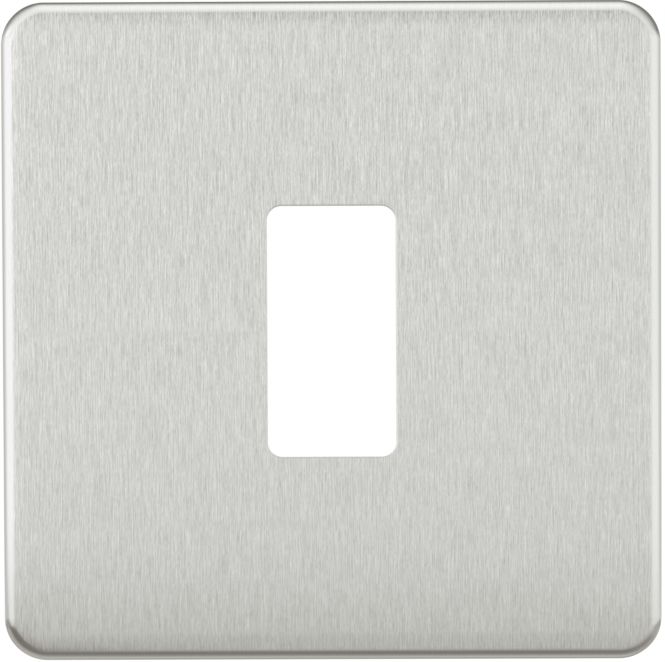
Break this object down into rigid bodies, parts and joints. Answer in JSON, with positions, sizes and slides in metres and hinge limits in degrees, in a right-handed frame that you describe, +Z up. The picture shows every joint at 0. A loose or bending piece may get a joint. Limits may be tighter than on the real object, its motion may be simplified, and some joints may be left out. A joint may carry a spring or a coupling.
{
  "type": "grid switch plate",
  "caption": "Square pressed-steel switch plate with a brushed face, a tall window for a grid switch module and a turned-back rim that clips over a wall frame.",
  "frame": {"origin": "centre of the plate on the wall plane, where the rim's back edge rests", "axes": "+X to the right seen from the front, +Y into the wall, +Z up"},
  "size_m": [0.095, 0.005, 0.095],
  "materials": {
    "brushed_steel": "fine vertical brush on the face, smoother on the turned edge"
  },
  "bodies": {
    "root": {"face_plate": "brushed_steel"}
  },
  "joints": []
}
